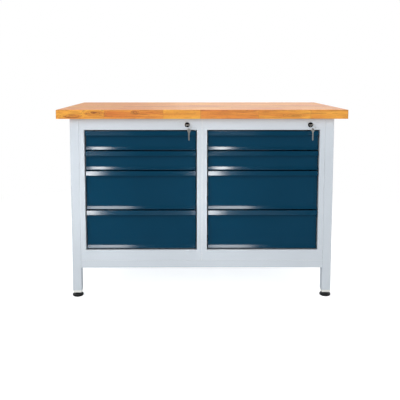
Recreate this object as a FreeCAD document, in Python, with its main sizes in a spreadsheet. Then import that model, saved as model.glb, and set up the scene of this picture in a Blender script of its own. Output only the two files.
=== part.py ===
import FreeCAD, Part
import os
import re

import Sketcher
from FreeCAD import Placement, Rotation, Vector

# Workbench with two four-drawer steel cabinets hung in a tubular frame under a solid beech top.
# Frame: +X to the bench's right as its user faces it, -Y towards the user, +Z up.
# The origin is on the floor, under the middle of the top. All sizes are in millimetres.

SIZES = {
    # worktop
    "top_width": 1285, "top_depth": 700, "top_thick": 40, "bench_height": 855, "top_round": 2.5,
    # frame of square legs and rails
    "leg_span": 1175, "frame_depth": 650, "leg_size": 40, "leg_wall": 2, "leg_bottom": 29.5,
    "leg_round": 3, "rail_bottom": 135, "rail_height": 33.8, "rail_depth": 30, "rail_wall": 2,
    "rail_round": 2,
    # plugs in the leg ends and the levelling feet screwed into them
    "plug_bottom": 18.7, "plug_length": 26, "plug_taper": 10, "plug_bore": 5.2,
    "plug_inset": 0.3, "plug_fit": 0.1,
    "pad_radius": 25, "pad_edge": 11, "pad_top": 14, "pad_round": 3,
    "collar_radius": 9, "collar_top": 17, "stud_radius": 5, "stud_top": 62,
    # cabinets: folded sheet with a rolled edge round the drawer opening
    "cabinet_width": 547, "cabinet_pitch": 547.5, "sheet": 1.2,
    "opening_width": 501.5, "opening_bottom": 218, "opening_height": 545.6,
    "edge_thick": 4, "edge_depth": 20, "edge_round": 3, "back_plane": 316, "back_return": 8,
    "panel_gap": 0.5,
    # drawer fronts, shallow and deep
    "front_gap": 5.6, "shallow_pitch": 90, "deep_pitch": 180, "front_width": 491,
    "front_plane": 310, "front_return": 14, "front_sheet": 1.5, "front_round": 1.3,
    "lip_height": 18.5, "lip_bottom_out": 16, "lip_top_out": 7, "lip_sheet": 1.8,
    "band_height": 13.5, "band_out": 8,
    # drawer boxes
    "box_width": 478, "box_rear": 270, "box_lift": 10, "box_drop": 22.5, "box_sheet": 1.2,
    # telescopic runners: each member is a channel
    "runner_lift": 41, "runner_start": 294, "runner_length": 550, "runner_sheet": 1.5,
    "outer_tall": 40, "outer_inside": 242.5, "outer_outside": 254,
    "middle_tall": 35.6, "middle_inside": 241.3, "middle_outside": 250,
    "inner_tall": 31.2, "inner_outside": 246.5,
    "post_width": 30, "post_bottom": 205, "post_height": 575, "post_front": 270, "post_rear": 210,
    # central locks
    "lock_inset": 43, "lock_level": 787, "flange_radius": 11, "flange_thick": 2.5,
    "flange_bevel": 1, "plug_recess": 0.2,
    "barrel_radius": 9.5, "barrel_length": 38, "plug_radius": 7, "lock_clearance": 0.05,
    "shaft_radius": 4, "disc_radius": 15, "disc_start": 286, "disc_thick": 4,
    "crank": 10, "pin_radius": 3, "pin_length": 16,
    "bar_width": 20, "bar_thick": 3, "bar_front": 300, "bar_bottom": 238, "bar_height": 558,
    "bar_shift": 8.5,
    "slot_height": 7.2, "slot_length": 11,
    "finger_width": 16, "finger_drop": 32.5, "finger_thick": 2.5, "finger_reach": 19,
    "finger_rise": 14.5,
    "catch_drop": 5, "catch_reach": 20, "catch_lip": 14, "catch_sheet": 1.5, "catch_width": 24,
    "guide_width": 25, "guide_height": 16, "guide_skin": 2.5, "guide_clearance": 0.4,
    "guide_low": 330, "guide_high": 600,
    "bracket_width": 30, "bracket_plane": 275, "bracket_sheet": 2, "bracket_foot": 13,
    "bracket_drop": 24,
    # keys and the ring that the spare hangs from
    "bow_radius": 9.25, "bow_reach": 15.5, "bow_hole": 3.5, "hole_reach": 18, "key_thick": 2,
    "neck_start": 11.5, "neck_width": 16.6, "blade_width": 6.4, "blade_start": 3,
    "blade_length": 33, "blade_clearance": 0.1,
    "cut_first": 7, "cut_pitch": 4.5, "cut_slope": 1.6, "cut_flat": 0.6,
    "ring_radius": 11, "ring_wire": 0.7, "ring_side": 7.5, "ring_drop": 8.05, "spare_drop": 1.85,
    # fasteners
    "screw_head": 6, "screw_head_thick": 4, "screw_radius": 2.5, "screw_length": 30,
    "screw_clearance": 0.1, "screw_tip_gap": 1, "screw_x": 200, "screw_y": 240,
    "bolt_head": 5, "bolt_head_thick": 4, "bolt_radius": 3, "bolt_clearance": 0.2,
    "bolt_low": 195, "bolt_high": 790, "nut_thick": 5,
    # how far a cutting tool runs past the face it cuts through
    "overcut": 1,
}
NEAR = 0.1  # millimetres within which an edge counts as lying on a plane or a line
SMALLEST_CUT = 0.1  # cubic millimetres that a pocket takes away at the least
ALONG = 0.999  # cosine above which an edge counts as running along a direction
SPARE_TURN = 40  # degrees the spare key is turned on its ring, away from facing the user
CUT_DEPTHS = (1.4, 0.7, 1.8, 1.1)  # of the blade's cuts, from the bow on
SIDES = {"left": -1, "right": 1}
ENDS = {"front": -1, "rear": 1}
DRAWERS = ("shallow", "shallow", "deep", "deep")  # from the top down

doc = FreeCAD.newDocument("workbench")
sheet = doc.addObject("Spreadsheet::Sheet", "Dims")
for row, (word, number) in enumerate(SIZES.items(), start=1):
    sheet.set(f"A{row}", word)
    sheet.set(f"B{row}", str(number))
    sheet.setAlias(f"B{row}", word)
doc.recompute()


def cells(text):
    """The expression with each size's name turned into a reference to its cell."""
    return re.sub(r"[a-z_]+", lambda word: f"Dims.{word[0]}" if word[0] in SIZES else word[0], text)


def value(text):
    """What an expression comes to now."""
    return float(sheet.evalExpression(cells(text)))


def bind(thing, **properties):
    """Binds properties of a document object to expressions."""
    for name, text in properties.items():
        thing.setExpression(name, cells(text))


def place(thing, x="0", y="0", z="0", rotation=None):
    """Binds an object's position, after an optional rotation."""
    if rotation:
        thing.Placement = Placement(Vector(), rotation)
    for axis, text in zip("xyz", (x, y, z)):
        thing.setExpression(f"Placement.Base.{axis}", cells(text))
    return thing


def minus(text):
    """The expression's negative."""
    return f"-({text})"


# PartDesign helpers


def new_body(name):
    body = doc.addObject("PartDesign::Body", name)
    body.Label = name
    return body


def new_sketch(body, name, plane, offset="0"):
    """A sketch on one of the body's origin planes, moved along the plane's normal by an expression."""
    sketch = body.newObject("Sketcher::SketchObject", f"{body.Name}_{name}")
    support = [face for face in body.Origin.OriginFeatures if face.Role == f"{plane}_Plane"]
    sketch.AttachmentSupport = [(support[0], "")]
    sketch.MapMode = "FlatFace"
    sketch.setExpression("AttachmentOffset.Base.z", cells(offset))
    return sketch


def fix_point(sketch, geometry, vertex, x, y):
    """Holds one point of a sketch at a place given by two expressions."""
    for kind, text in (("DistanceX", x), ("DistanceY", y)):
        held = Sketcher.Constraint(kind, -1, 1, geometry, vertex, value(text))
        index = sketch.addConstraint(held)
        sketch.setExpression(f"Constraints[{index}]", cells(text))


def outline(sketch, corners):
    """A closed polygon through corners given as pairs of expressions."""
    first = sketch.GeometryCount
    count = len(corners)
    points = [Vector(value(x), value(y), 0) for x, y in corners]
    for i in range(count):
        sketch.addGeometry(Part.LineSegment(points[i], points[(i + 1) % count]))
    for i in range(count):
        following = first + (i + 1) % count
        sketch.addConstraint(Sketcher.Constraint("Coincident", first + i, 2, following, 1))
    for i, (x, y) in enumerate(corners):
        fix_point(sketch, first + i, 1, x, y)


def rectangle(sketch, low_x, low_y, high_x, high_y):
    outline(sketch, [(low_x, low_y), (high_x, low_y), (high_x, high_y), (low_x, high_y)])


def circle(sketch, x, y, radius):
    geometry = Part.Circle(Vector(value(x), value(y), 0), Vector(0, 0, 1), value(radius))
    index = sketch.addGeometry(geometry)
    fix_point(sketch, index, 3, x, y)
    held = sketch.addConstraint(Sketcher.Constraint("Radius", index, value(radius)))
    sketch.setExpression(f"Constraints[{held}]", cells(radius))


def extrude(kind, body, sketch, length, side="One side", flipped=False, taper=None):
    """A Pad or a Pocket of a sketch by a bound length."""
    feature = body.newObject(f"PartDesign::{kind}", f"{sketch.Name}_{kind.lower()}")
    feature.Profile = sketch
    feature.SideType = side
    feature.Reversed = flipped
    bind(feature, Length=length)
    if taper:
        bind(feature, TaperAngle=taper)
    return feature


def pad(body, sketch, length, **options):
    return extrude("Pad", body, sketch, length, **options)


def pocket(body, sketch, length, **options):
    """A Pocket, refused when it takes nothing away."""
    doc.recompute()
    before = body.Shape.Volume
    feature = extrude("Pocket", body, sketch, length, **options)
    doc.recompute()
    if body.Shape.Volume > before - SMALLEST_CUT:
        raise RuntimeError(f"{feature.Name} cuts nothing")
    return feature


def revolve(body, sketch):
    feature = body.newObject("PartDesign::Revolution", f"{sketch.Name}_turned")
    feature.Profile = sketch
    feature.ReferenceAxis = (sketch, ["V_Axis"])
    feature.Angle = 360
    return feature


def soften(body, radius, direction, chosen=lambda middle: True):
    """Rounds the straight edges that run along a direction and whose middle is chosen."""
    doc.recompute()
    base = body.Tip
    names = []
    for number, edge in enumerate(base.Shape.Edges, start=1):
        if edge.Curve.TypeId != "Part::GeomLine":
            continue
        if abs(edge.tangentAt(edge.FirstParameter).dot(direction)) < ALONG:
            continue
        if chosen(edge.CenterOfMass):
            names.append(f"Edge{number}")
    feature = body.newObject("PartDesign::Fillet", f"{body.Name}_fillet_{len(body.Group)}")
    feature.Base = (base, names)
    bind(feature, Radius=radius)
    return feature


X, Y, Z = Vector(1, 0, 0), Vector(0, 1, 0), Vector(0, 0, 1)
TOWARDS_REAR = Rotation(X, -90)  # turns a cylinder's axis from +Z to +Y
TOWARDS_RIGHT = Rotation(Y, 90)  # turns a cylinder's axis from +Z to +X

# Part helpers


def block(name, low, size):
    """A box from its low corner and its size, both given as three expressions."""
    solid = doc.addObject("Part::Box", name)
    bind(solid, Length=size[0], Width=size[1], Height=size[2])
    return place(solid, *low)


def rod(name, centre, radius, length, rotation=None):
    """A cylinder from the middle of its first face."""
    solid = doc.addObject("Part::Cylinder", name)
    bind(solid, Radius=radius, Height=length)
    return place(solid, *centre, rotation=rotation)


def hexagon(name, centre, radius, length, rotation=None):
    """A six-sided prism from the middle of its first face; radius is to its corners."""
    solid = doc.addObject("Part::Prism", name)
    solid.Polygon = 6
    bind(solid, Circumradius=radius, Height=length)
    return place(solid, *centre, rotation=rotation)


def less(name, base, tool):
    result = doc.addObject("Part::Cut", name)
    result.Base = base
    result.Tool = tool
    return result


def joined(name, pieces):
    result = doc.addObject("Part::MultiFuse", name)
    result.Shapes = pieces
    return result


def group(name, pieces):
    """Separate solids that share one node."""
    result = doc.addObject("Part::Compound", name)
    result.Links = pieces
    return result


nodes = []


def keep(thing, name):
    """Marks an object as a sub-part, to be written under its Label."""
    thing.Label = name
    nodes.append(thing)
    return thing


# Places worked out from the driving sizes

TOP_UNDERSIDE = "(bench_height - top_thick)"
FACE = "(-frame_depth / 2)"  # the plane of the cabinets' and the front legs' front faces
CABINET_BOTTOM = "(rail_bottom + rail_height)"
CABINET_HEIGHT = f"({TOP_UNDERSIDE} - {CABINET_BOTTOM})"
OPENING_TOP = "(opening_bottom + opening_height)"
LEG_X = "((leg_span - leg_size) / 2)"
LEG_Y = "((frame_depth - leg_size) / 2)"
LOCK_X = "(opening_width / 2 - lock_inset)"  # from the middle of its cabinet
BAR_X = f"({LOCK_X} - bar_shift)"
BOLT_LEVELS = ("bolt_low", "bolt_high")


def cabinet_x(side, offset="0"):
    """A place across the bench, counted from the middle of the left or right cabinet."""
    return f"{SIDES[side]} * cabinet_pitch / 2 + ({offset})"


def drawer_bottom(number):
    """The level of the lower edge of a drawer's front."""
    pitches = " - ".join(f"{kind}_pitch" for kind in DRAWERS[:number])
    return f"({OPENING_TOP} - {pitches})"


def box_height(kind):
    return f"({kind}_pitch - front_gap - box_drop)"


# Worktop and its screws


def screw_places():
    return [
        (cabinet_x(side, f"{across} * screw_x"), f"{along} * screw_y")
        for side in SIDES
        for across in (-1, 1)
        for along in (-1, 1)
    ]


def make_worktop():
    """Glued beech board with eased edges and blind pilot holes below."""
    body = new_body("worktop")
    face = new_sketch(body, "face", "XY")
    rectangle(face, "-top_width / 2", "-top_depth / 2", "top_width / 2", "top_depth / 2")
    pad(body, face, "top_thick")
    soften(body, "top_round", Z)
    soften(body, "top_round", X, lambda middle: middle.z > NEAR)
    pilots = new_sketch(body, "pilots", "XY")
    for x, y in screw_places():
        circle(pilots, x, y, "screw_radius + screw_clearance")
    pocket(body, pilots, "screw_length", flipped=True)
    keep(place(body, z=TOP_UNDERSIDE), "worktop")


def make_worktop_screws():
    """Screws that come up through each cabinet's top sheet."""
    screws = []
    for number, (x, y) in enumerate(screw_places()):
        under = f"{TOP_UNDERSIDE} - sheet - screw_head_thick"
        head = rod(f"screw_head_{number}", (x, y, under), "screw_head", "screw_head_thick")
        shank_length = "screw_head_thick + sheet + screw_length - screw_tip_gap"
        shank = rod(f"screw_shank_{number}", (x, y, under), "screw_radius", shank_length)
        screws.append(joined(f"screw_{number}", [head, shank]))
    keep(group("screws", screws), "worktop_screws")


# Frame


def make_leg(end, side):
    """Square tube with two bolt holes in the wall that faces the cabinet."""
    body = new_body(f"leg_{end}_{side}")
    section = new_sketch(body, "section", "XY")
    half, inner = "leg_size / 2", "(leg_size / 2 - leg_wall)"
    rectangle(section, minus(half), minus(half), half, half)
    rectangle(section, minus(inner), minus(inner), inner, inner)
    pad(body, section, f"{TOP_UNDERSIDE} - leg_bottom")
    edge = value(half) - NEAR
    soften(body, "leg_round", Z, lambda middle: abs(middle.x) > edge)
    holes = new_sketch(body, "holes", "YZ", f"{-SIDES[side]} * leg_size / 2")
    for level in BOLT_LEVELS:
        circle(holes, "0", f"{level} - leg_bottom", "bolt_radius + bolt_clearance")
    pocket(body, holes, "leg_wall * 2", flipped=side == "right")
    x = f"{SIDES[side]} * {LEG_X}"
    keep(place(body, x, f"{ENDS[end]} * {LEG_Y}", "leg_bottom"), body.Name)


def make_long_rail(end):
    """Tube between two legs, on which the cabinets stand."""
    body = new_body(f"rail_{end}")
    section = new_sketch(body, "section", "YZ")
    rectangle(section, "-rail_depth / 2", "0", "rail_depth / 2", "rail_height")
    inner = "rail_depth / 2 - rail_wall"
    rectangle(section, minus(inner), "rail_wall", inner, "rail_height - rail_wall")
    pad(body, section, "leg_span - 2 * leg_size", side="Symmetric")
    edge = value("rail_depth / 2") - NEAR
    soften(body, "rail_round", X, lambda middle: abs(middle.y) > edge)
    y = f"{ENDS[end]} * (frame_depth - rail_depth) / 2"
    keep(place(body, y=y, z="rail_bottom"), body.Name)


def make_side_rails(side):
    """The two equal tubes between a front and a rear leg, low down and under the top."""
    rails = []
    levels = {"low": "rail_bottom", "high": f"{TOP_UNDERSIDE} - rail_height"}
    for name, level in levels.items():
        body = new_body(f"side_rail_{side}_{name}")
        section = new_sketch(body, "section", "XZ")
        rectangle(section, "-rail_depth / 2", "0", "rail_depth / 2", "rail_height")
        inner = "rail_depth / 2 - rail_wall"
        rectangle(section, minus(inner), "rail_wall", inner, "rail_height - rail_wall")
        pad(body, section, "frame_depth - 2 * leg_size", side="Symmetric")
        edge = value("rail_depth / 2") - NEAR
        soften(body, "rail_round", Y, lambda middle: abs(middle.x) > edge)
        rails.append(place(body, f"{SIDES[side]} * {LEG_X}", z=level))
    keep(group(f"side_rails_{side}_pair", rails), f"side_rails_{side}")


def leg_places():
    return [
        (end, side, f"{SIDES[side]} * {LEG_X}", f"{ENDS[end]} * {LEG_Y}")
        for end in ENDS
        for side in SIDES
    ]


def make_leg_plugs():
    """Plastic plugs: a tapered head below each tube's end and a body inside the tube."""
    plugs = []
    for end, side, x, y in leg_places():
        body = new_body(f"plug_{end}_{side}")
        head = new_sketch(body, "head", "XY")
        half = "(leg_size / 2 - plug_inset)"
        rectangle(head, minus(half), minus(half), half, half)
        pad(body, head, "leg_bottom - plug_bottom", flipped=True, taper="-plug_taper")
        core = new_sketch(body, "core", "XY")
        inner = "(leg_size / 2 - leg_wall - plug_fit)"
        rectangle(core, minus(inner), minus(inner), inner, inner)
        pad(body, core, "plug_length")
        bore = new_sketch(body, "bore", "XY")
        circle(bore, "0", "0", "plug_bore")
        pocket(body, bore, "plug_length * 3", side="Symmetric")
        plugs.append(place(body, x, y, "leg_bottom"))
    keep(group("plugs", plugs), "leg_inserts")


def make_foot(end, side, x, y):
    """Levelling foot: a round plastic pad moulded on a threaded stud, turned as one."""
    body = new_body(f"foot_{end}_{side}")
    profile = new_sketch(body, "profile", "XZ")
    outline(profile, [
        ("0", "0"),
        ("pad_radius - pad_round", "0"),
        ("pad_radius", "pad_round"),
        ("pad_radius", "pad_edge - pad_round"),
        ("pad_radius - pad_round", "pad_edge"),
        ("collar_radius", "pad_top"),
        ("collar_radius", "collar_top"),
        ("stud_radius", "collar_top"),
        ("stud_radius", "stud_top"),
        ("0", "stud_top"),
    ])
    revolve(body, profile)
    keep(place(body, x, y), body.Name)


def make_frame_bolts():
    """Bolts with nuts: cabinets to legs, and cabinet to cabinet."""
    bolts = []
    for end in ENDS:
        for level in BOLT_LEVELS:
            for joint, side in (("leg", "left"), ("leg", "right"), ("link", "right")):
                outward = SIDES[side] if joint == "leg" else -1
                wall = f"({cabinet_x(side)} + {outward} * (cabinet_width / 2 - sheet))"
                other = "leg_wall" if joint == "leg" else "sheet"
                stack = f"(cabinet_pitch / 2 - cabinet_width / 2 + sheet + {other})"
                if joint == "link":
                    stack = f"({stack} + cabinet_pitch / 2 - cabinet_width / 2)"
                turn = TOWARDS_RIGHT if outward > 0 else Rotation(Y, -90)
                name = f"{joint}_{end}_{side}_{level}"
                y = f"{ENDS[end]} * {LEG_Y}"
                start = f"{wall} - {outward} * bolt_head_thick"
                head = hexagon(f"head_{name}", (start, y, level), "bolt_head", "bolt_head_thick", turn)
                length = f"bolt_head_thick + {stack} + nut_thick"
                shank = rod(f"shank_{name}", (start, y, level), "bolt_radius", length, turn)
                far = f"{wall} + {outward} * {stack}"
                nut = hexagon(f"nut_{name}", (far, y, level), "bolt_head", "nut_thick", turn)
                bolts.append(joined(f"bolt_{name}", [head, shank, nut]))
    keep(group("bolts", bolts), "frame_bolts")


# Cabinets


def make_cabinet(side):
    """Folded steel case, open behind, with a rolled edge round the drawer opening."""
    body = new_body(f"cabinet_{side}")
    half = "cabinet_width / 2"
    case = new_sketch(body, "case", "XZ")
    rectangle(case, minus(half), "0", half, CABINET_HEIGHT)
    pad(body, case, "frame_depth", side="Symmetric")
    hollow = new_sketch(body, "hollow", "XZ", "-frame_depth / 2")
    inner = f"({half} - sheet)"
    rectangle(hollow, minus(inner), "sheet", inner, f"{CABINET_HEIGHT} - sheet")
    pocket(body, hollow, "frame_depth - sheet", flipped=True)
    edge = new_sketch(body, "edge", "XZ", "frame_depth / 2")
    wide, low = "opening_width / 2", f"(opening_bottom - {CABINET_BOTTOM})"
    outer = f"({wide} + edge_thick)"
    high = f"({low} + opening_height)"
    rectangle(edge, minus(outer), f"{low} - edge_thick", outer, f"{high} + edge_thick")
    pad(body, edge, "edge_depth", flipped=True)
    opening = new_sketch(body, "opening", "XZ", "frame_depth / 2")
    rectangle(opening, minus(wide), low, wide, high)
    pocket(body, opening, "edge_depth * 2")
    front = value(FACE) + NEAR
    side_at, sill, lintel = value(wide) + NEAR, value(low) - NEAR, value(high) + NEAR

    def on_opening(middle):
        return middle.y < front and abs(middle.x) < side_at and sill < middle.z < lintel

    soften(body, "edge_round", X, on_opening)
    soften(body, "edge_round", Z, on_opening)
    lock = new_sketch(body, "lock_hole", "XZ", "frame_depth / 2")
    circle(lock, LOCK_X, f"lock_level - {CABINET_BOTTOM}", "barrel_radius")
    pocket(body, lock, "sheet * 2")
    screws = new_sketch(body, "screw_holes", "XY", CABINET_HEIGHT)
    for across in (-1, 1):
        for along in (-1, 1):
            place_x, place_y = f"{across} * screw_x", f"{along} * screw_y"
            circle(screws, place_x, place_y, "screw_radius + screw_clearance")
    pocket(body, screws, "sheet * 2")
    bolts = new_sketch(body, "bolt_holes", "YZ")
    for end in ENDS:
        for level in BOLT_LEVELS:
            y, z = f"{ENDS[end]} * {LEG_Y}", f"{level} - {CABINET_BOTTOM}"
            circle(bolts, y, z, "bolt_radius + bolt_clearance")
    pocket(body, bolts, "cabinet_width * 2", side="Symmetric")
    keep(place(body, cabinet_x(side), z=CABINET_BOTTOM), body.Name)


def make_back_panel(side):
    """Shallow pan of sheet that closes a cabinet behind."""
    body = new_body(f"back_panel_{side}")
    inner = "(cabinet_width / 2 - sheet - panel_gap)"
    pan = new_sketch(body, "pan", "XZ", "-back_plane")
    low, high = "sheet + panel_gap", f"({CABINET_HEIGHT} - sheet - panel_gap)"
    rectangle(pan, minus(inner), low, inner, high)
    pad(body, pan, "back_return", flipped=True)
    hollow = new_sketch(body, "hollow", "XZ", "-back_plane - back_return")
    wide = f"({inner} - sheet)"
    rectangle(hollow, minus(wide), f"{low} + sheet", wide, f"{high} - sheet")
    pocket(body, hollow, "back_return - sheet", flipped=True)
    keep(place(body, cabinet_x(side), z=CABINET_BOTTOM), body.Name)


def make_runner_posts():
    """Upright channels on the cabinets' side walls that carry the runners."""
    posts = []
    inside_wall = "(cabinet_width / 2 - sheet)"
    deep = f"({inside_wall} - outer_outside)"
    for side in SIDES:
        for hand in (-1, 1):
            for name, y in (("front", "-post_front"), ("rear", "post_rear")):
                label = f"post_{side}_{name}_{hand + 1}"
                low = "outer_outside" if hand > 0 else minus(inside_wall)
                corner = (cabinet_x(side, low), f"{y} - post_width / 2", "post_bottom")
                size = (deep, "post_width", "post_height")
                web = f"{low} + runner_sheet" if hand > 0 else low
                start = (
                    cabinet_x(side, web),
                    f"{y} - post_width / 2 + runner_sheet",
                    "post_bottom - overcut",
                )
                hollow = (
                    f"{deep} - runner_sheet",
                    "post_width - 2 * runner_sheet",
                    "post_height + 2 * overcut",
                )
                solid, tool = block(f"{label}_bar", corner, size), block(f"{label}_core", start, hollow)
                posts.append(less(label, solid, tool))
    keep(group("posts", posts), "runner_posts")


# Telescopic runners


def channel(name, middle, hand, inside, outside, tall, level, web_outside=True):
    """One runner member: a channel along Y between two distances from a cabinet's middle.

    Its web is at the larger distance, or at the smaller one when web_outside is false.
    """
    wide = f"({outside} - ({inside}))"
    low = inside if hand > 0 else minus(outside)
    start = "-runner_start"
    corner = (f"{middle} + ({low})", start, f"{level} - {tall} / 2")
    solid = block(f"{name}_bar", corner, (wide, "runner_length", tall))
    web_high = (hand > 0) == web_outside
    hollow_low = low if web_high else f"({low}) + runner_sheet"
    hollow_corner = (
        f"{middle} + ({hollow_low})",
        f"{start} - overcut",
        f"{level} - {tall} / 2 + runner_sheet",
    )
    hollow = (f"{wide} - runner_sheet", "runner_length + 2 * overcut", f"{tall} - 2 * runner_sheet")
    return less(name, solid, block(f"{name}_core", hollow_corner, hollow))


def make_outer_runners():
    """Fixed members, a left and a right one for each drawer."""
    members = []
    for side in SIDES:
        for number in range(1, len(DRAWERS) + 1):
            level = f"{drawer_bottom(number)} + runner_lift"
            for hand in (-1, 1):
                name = f"outer_{side}_{number}_{hand + 1}"
                sizes = ("outer_inside", "outer_outside", "outer_tall", level)
                members.append(channel(name, cabinet_x(side), hand, *sizes))
    keep(group("outer_members", members), "outer_runners")


def make_middle_runners(side, number):
    """The pair of members that slides between a drawer and its fixed runners."""
    level = f"{drawer_bottom(number)} + runner_lift"
    sizes = ("middle_inside", "middle_outside", "middle_tall", level)
    pair = [
        channel(f"middle_{side}_{number}_{hand + 1}", cabinet_x(side), hand, *sizes)
        for hand in (-1, 1)
    ]
    keep(group(f"middle_pair_{side}_{number}", pair), f"middle_runners_{side}_{number}")


# Drawers


def make_drawer_front(side, number, kind):
    """Folded front: a sloping grip lip along the top, a flat panel and a sloping band below.

    It is stiffened behind by returns along its sides and its lower edge, and open at the top.
    """
    body = new_body(f"drawer_front_{side}_{number}")
    height = f"({kind}_pitch - front_gap)"
    section = new_sketch(body, "section", "YZ")
    outline(section, [
        ("front_return", "0"),
        ("-band_out", "0"),
        ("0", "band_height"),
        ("0", f"{height} - front_sheet"),
        ("-lip_top_out", f"{height} - front_sheet"),
        ("-lip_bottom_out + lip_sheet", f"{height} - lip_height"),
        ("-lip_bottom_out", f"{height} - lip_height"),
        ("-lip_top_out - lip_sheet", height),
        ("front_return", height),
    ])
    pad(body, section, "front_width", side="Symmetric")
    pan = new_sketch(body, "pan", "XZ", "-front_return")
    wide = "(front_width / 2 - front_sheet)"
    rectangle(pan, minus(wide), "front_sheet", wide, f"{height} + front_sheet")
    pocket(body, pan, "front_return - front_sheet", flipped=True)
    corners = [
        (minus("band_out"), "0"),
        (minus("lip_top_out + lip_sheet"), height),
        ("front_return", height),
    ]
    places = [Vector(0, value(y), value(z)) for y, z in corners]

    def on_corner(middle):
        across = Vector(0, middle.y, middle.z)
        return any(across.distanceToPoint(corner) < NEAR for corner in places)

    soften(body, "front_round", X, on_corner)
    level = drawer_bottom(number)
    keep(place(body, cabinet_x(side), "-front_plane", level), body.Name)


def make_drawer_box(side, number, kind):
    """Folded box with a runner profile welded on each side and the lock's catch behind."""
    name = f"box_{side}_{number}"
    middle, base = cabinet_x(side), f"({drawer_bottom(number)} + box_lift)"
    front = "(front_return - front_plane)"
    deep, tall = f"(box_rear - {front})", box_height(kind)
    corner = (f"{middle} - box_width / 2", front, base)
    shell = block(f"{name}_shell", corner, ("box_width", deep, tall))
    inside = tuple(f"{place_at} + box_sheet" for place_at in corner)
    inside_size = ("box_width - 2 * box_sheet", f"{deep} - 2 * box_sheet", tall)
    tray = less(f"{name}_tray", shell, block(f"{name}_inside", inside, inside_size))
    level = f"{drawer_bottom(number)} + runner_lift"
    sizes = ("box_width / 2", "inner_outside", "inner_tall", level)
    profiles = [
        channel(f"{name}_profile_{hand + 1}", middle, hand, *sizes, web_outside=False)
        for hand in (-1, 1)
    ]
    top = f"({base} + {tall} - catch_drop)"
    across = f"{middle} + {BAR_X} - catch_width / 2"
    plate_corner = (across, "box_rear - box_sheet", f"{top} - catch_sheet")
    plate_size = ("catch_width", "catch_reach + box_sheet", "catch_sheet")
    plate = block(f"{name}_catch_plate", plate_corner, plate_size)
    lip_corner = (across, "box_rear + catch_reach - catch_sheet", f"{top} - catch_lip")
    lip = block(f"{name}_catch_lip", lip_corner, ("catch_width", "catch_sheet", "catch_lip"))
    keep(joined(name, [tray, *profiles, plate, lip]), f"drawer_box_{side}_{number}")


# Central locks


def lock_place(body, side):
    """Puts a lock piece on its axis, with y counted from the cabinet's face."""
    return place(body, cabinet_x(side, LOCK_X), FACE, "lock_level")


def make_lock_body(side):
    """Turned barrel with a round flange in front of the cabinet's face."""
    body = new_body(f"lock_body_{side}")
    profile = new_sketch(body, "profile", "XY")
    bore = "plug_radius + lock_clearance"
    outline(profile, [
        (bore, "-flange_thick"),
        ("flange_radius - flange_bevel", "-flange_thick"),
        ("flange_radius", "flange_bevel - flange_thick"),
        ("flange_radius", "0"),
        ("barrel_radius", "0"),
        ("barrel_radius", "barrel_length"),
        (bore, "barrel_length"),
    ])
    revolve(body, profile)
    keep(lock_place(body, side), body.Name)


def make_lock_shaft(side):
    """Plug, long shaft, end disc and crank pin, which the key turns as one piece."""
    name, x = f"shaft_{side}", cabinet_x(side, LOCK_X)
    face = f"({FACE} - flange_thick + plug_recess)"
    plug_length = "(barrel_length + flange_thick)"
    plug = rod(f"{name}_plug", (x, face, "lock_level"), "plug_radius", plug_length, TOWARDS_REAR)
    shaft_length = f"disc_start + disc_thick - {face}"
    core = rod(f"{name}_rod", (x, face, "lock_level"), "shaft_radius", shaft_length, TOWARDS_REAR)
    disc_at = (x, "disc_start", "lock_level")
    disc = rod(f"{name}_disc", disc_at, "disc_radius", "disc_thick", TOWARDS_REAR)
    pin_at = (f"{x} - crank * sqrt(0.5)", "disc_start", "lock_level - crank * sqrt(0.5)")
    pin_length = "disc_thick + pin_length"
    pin = rod(f"{name}_pin", pin_at, "pin_radius", pin_length, TOWARDS_REAR)
    whole = joined(f"{name}_whole", [plug, core, disc, pin])
    half_wide = "(blade_width / 2 + blade_clearance)"
    half_thick = "(key_thick / 2 + blade_clearance)"
    slot_low = (f"{x} - {half_wide}", f"{face} - overcut", f"lock_level - {half_thick}")
    slot_size = (f"2 * {half_wide}", "blade_length", f"2 * {half_thick}")
    slot = block(f"{name}_keyway", slot_low, slot_size)
    keep(less(name, whole, slot), f"lock_shaft_{side}")


def make_key(name):
    """Flat key: a round bow with a hole, a neck that narrows and a cut blade towards +Y."""
    body = new_body(name)
    bow = new_sketch(body, "bow", "XY")
    circle(bow, "0", "-bow_reach", "bow_radius")
    pad(body, bow, "key_thick", side="Symmetric")
    blade = new_sketch(body, "blade", "XY")
    tip = "(blade_length - blade_start)"
    cuts = []
    for number, depth in enumerate(CUT_DEPTHS):
        middle = f"cut_first + {number} * cut_pitch"
        cuts += [
            ("blade_width / 2", f"{middle} - cut_slope"),
            (f"blade_width / 2 - {depth}", f"{middle} - cut_flat / 2"),
            (f"blade_width / 2 - {depth}", f"{middle} + cut_flat / 2"),
            ("blade_width / 2", f"{middle} + cut_slope"),
        ]
    outline(blade, [
        ("-neck_width / 2", "-neck_start"),
        ("neck_width / 2", "-neck_start"),
        ("blade_width / 2", "-blade_start"),
        *cuts,
        ("blade_width / 2", f"{tip} - blade_width / 2"),
        ("0", tip),
        ("-blade_width / 2", f"{tip} - blade_width / 2"),
        ("-blade_width / 2", "-blade_start"),
    ])
    pad(body, blade, "key_thick", side="Symmetric")
    hole = new_sketch(body, "hole", "XY")
    circle(hole, "0", "-hole_reach", "bow_hole")
    pocket(body, hole, "key_thick * 2", side="Symmetric")
    return body


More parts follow.
